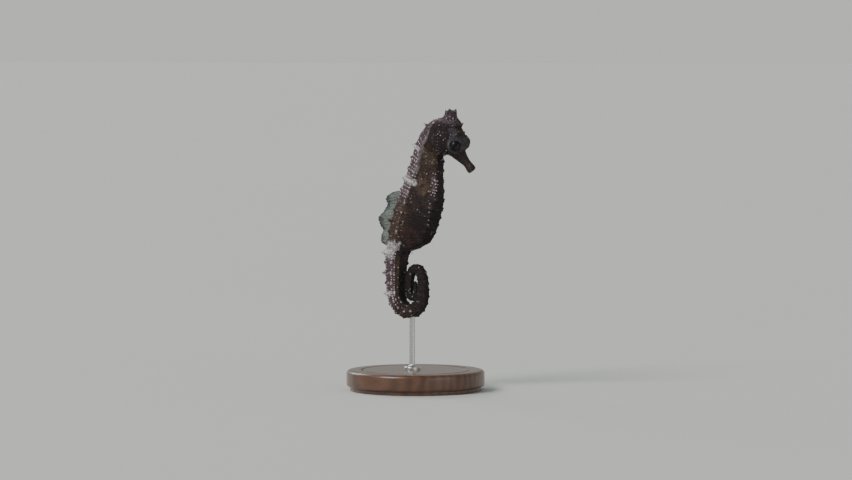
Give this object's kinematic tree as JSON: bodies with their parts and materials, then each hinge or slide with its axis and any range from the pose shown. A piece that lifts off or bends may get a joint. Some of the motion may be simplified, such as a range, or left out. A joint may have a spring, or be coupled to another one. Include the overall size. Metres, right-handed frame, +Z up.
{
  "type": "seahorse display model",
  "caption": "Life-size still model of a spiny long-snouted seahorse with a coiled tail, held upright on a round base by one short rod.",
  "frame": {"origin": "centre of the stand base's underside, on the floor", "axes": "+Z up, +X the way the animal faces, +Y its left side"},
  "size_m": [0.0542, 0.054, 0.1107],
  "materials": {
    "skin": "granular bony skin, satin",
    "eye": "clear wet cornea over a dark iris",
    "fin": "thin translucent membrane with rays",
    "base_wood": "turned dark hardwood, satin lacquer",
    "rod_steel": "fine brushed stainless rod"
  },
  "bodies": {
    "root": {"snout": "skin", "head": "skin", "coronet": "skin", "eye_right": "eye", "eye_left": "eye", "neck": "skin", "trunk_upper": "skin", "trunk_middle": "skin", "trunk_lower": "skin", "tail_1": "skin", "tail_2": "skin", "tail_3": "skin", "tail_4": "skin", "tail_5": "skin", "tail_6": "skin", "tail_7": "skin", "dorsal_fin": "fin", "pectoral_fin_right": "fin", "pectoral_fin_left": "fin", "anal_fin": "fin", "stand_base": "base_wood", "stand_rod": "rod_steel"}
  },
  "joints": []
}
